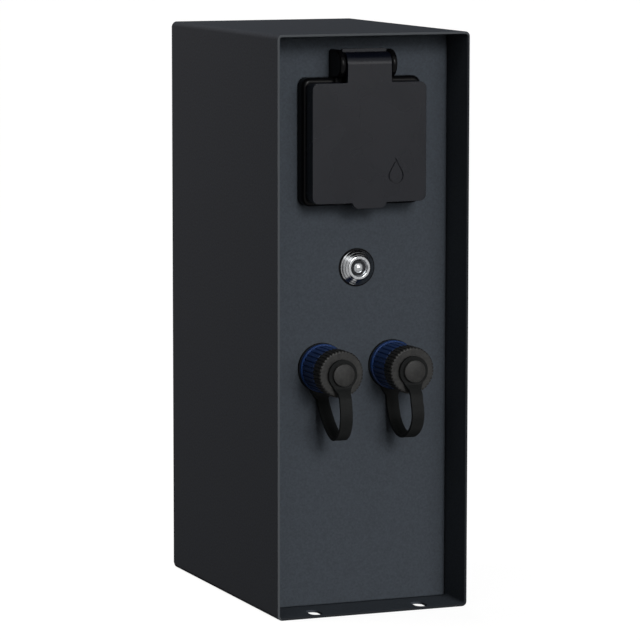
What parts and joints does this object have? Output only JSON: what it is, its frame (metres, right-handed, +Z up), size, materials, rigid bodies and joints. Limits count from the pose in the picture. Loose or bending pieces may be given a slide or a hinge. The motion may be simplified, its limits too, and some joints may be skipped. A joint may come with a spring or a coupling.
{
  "type": "garden socket post",
  "caption": "Folded sheet-metal outdoor power post with a recessed panel carrying a lidded earthed socket, a push-button switch and round capped connectors.",
  "frame": {"origin": "middle of the housing's bottom face", "axes": "+Z up, the front with the recessed panel faces -Y, +X to the right seen from the front"},
  "size_m": [0.106, 0.1731, 0.3],
  "materials": {
    "powder_coat": "fine-texture matt powder coat, anthracite",
    "zinc_steel": "zinc-plated steel",
    "soft_rubber": "matt black rubber",
    "strap_rubber": "matt black flexible plastic",
    "grey_plastic": "matt grey plastic",
    "terminal_blue": "matt blue plastic",
    "terminal_green": "matt green plastic",
    "black_plastic": "matt black plastic",
    "lid_plastic": "lightly textured anthracite plastic",
    "cap_plastic": "satin black plastic",
    "brass": "plain brass",
    "polished_steel": "polished stainless steel",
    "ring_plastic": "translucent plastic, unlit",
    "connector_blue": "satin blue plastic",
    "lead_brown": "brown insulation",
    "lead_blue": "blue insulation",
    "lead_green": "green and yellow insulation",
    "lead_black": "black insulation"
  },
  "bodies": {
    "housing": {"housing_jacket": "powder_coat", "front_panel": "powder_coat", "panel_nuts": "zinc_steel", "rear_cover": "powder_coat", "rear_cover_gasket": "soft_rubber", "rear_cover_screws": "zinc_steel", "terminal_plate": "zinc_steel", "gland_shelf": "zinc_steel", "bracket_screws": "zinc_steel", "bracket_nuts": "zinc_steel", "gland_body": "grey_plastic", "gland_locknut": "grey_plastic", "gland_seal": "soft_rubber", "gland_dome_nut": "grey_plastic", "terminal_rail": "zinc_steel", "line_terminals": "grey_plastic", "neutral_terminals": "terminal_blue", "earth_terminal": "terminal_green", "rail_end_stops": "grey_plastic", "earth_lug": "zinc_steel", "earth_nut": "zinc_steel", "socket_frame": "black_plastic", "socket_gasket": "soft_rubber", "socket_insert": "black_plastic", "contact_sleeves": "brass", "earth_clip": "brass", "socket_screws": "zinc_steel", "socket_nuts": "zinc_steel", "hinge_pin": "zinc_steel", "hinge_spring": "zinc_steel", "switch_bezel": "polished_steel", "switch_gasket": "soft_rubber", "switch_nut": "zinc_steel", "switch_body": "black_plastic", "switch_spring": "zinc_steel", "switch_terminals": "brass", "left_connector_body": "connector_blue", "right_connector_body": "connector_blue", "left_contact_carrier": "black_plastic", "right_contact_carrier": "black_plastic", "left_contact_pins": "brass", "right_contact_pins": "brass", "left_connector_nut": "zinc_steel", "right_connector_nut": "zinc_steel", "left_cap_strap": "strap_rubber", "right_cap_strap": "strap_rubber", "line_leads": "lead_brown", "neutral_lead": "lead_blue", "earth_leads": "lead_green", "connector_leads": "lead_black"},
    "lid": {"socket_lid": "lid_plastic", "lid_seal": "soft_rubber"},
    "button": {"switch_button": "polished_steel", "switch_light_ring": "ring_plastic"},
    "left_carrier": {"left_strap_eyelet": "strap_rubber"},
    "left_screw_cap": {"left_cap": "cap_plastic", "left_cap_seal": "soft_rubber"},
    "right_carrier": {"right_strap_eyelet": "strap_rubber"},
    "right_screw_cap": {"right_cap": "cap_plastic", "right_cap_seal": "soft_rubber"}
  },
  "joints": [
    {"name": "lid_hinge", "type": "hinge", "parent": "housing", "child": "lid", "pos_m": [0, -0.0653, 0.2838], "axis": [-1, 0, 0], "range_deg": [0, 105], "stiffness_Nm_per_rad": 0.01, "springref_deg": -28.65, "deforming": ["hinge_spring"]},
    {"name": "button_press", "type": "slide", "parent": "housing", "child": "button", "axis": [0, 1, 0], "range_m": [0, 0.002], "stiffness_N_per_m": 600, "springref_m": -0.002, "deforming": ["switch_spring"]},
    {"name": "left_cap_withdraw", "type": "slide", "parent": "housing", "child": "left_carrier", "axis": [0, -1, 0], "range_m": [0, 0.006], "deforming": ["left_cap_strap"]},
    {"name": "left_cap_turn", "type": "hinge", "parent": "left_carrier", "child": "left_screw_cap", "pos_m": [-0.0197, -0.08, 0.1265], "axis": [0, -1, 0], "range_deg": [0, 1440]},
    {"name": "right_cap_withdraw", "type": "slide", "parent": "housing", "child": "right_carrier", "axis": [0, -1, 0], "range_m": [0, 0.006], "deforming": ["right_cap_strap"]},
    {"name": "right_cap_turn", "type": "hinge", "parent": "right_carrier", "child": "right_screw_cap", "pos_m": [0.0197, -0.08, 0.1265], "axis": [0, -1, 0], "range_deg": [0, 1440]}
  ],
  "couplings": [
    {"joint": "left_cap_turn", "follows": "left_cap_withdraw", "rad_per_m": 4188},
    {"joint": "right_cap_turn", "follows": "right_cap_withdraw", "rad_per_m": 4188}
  ]
}
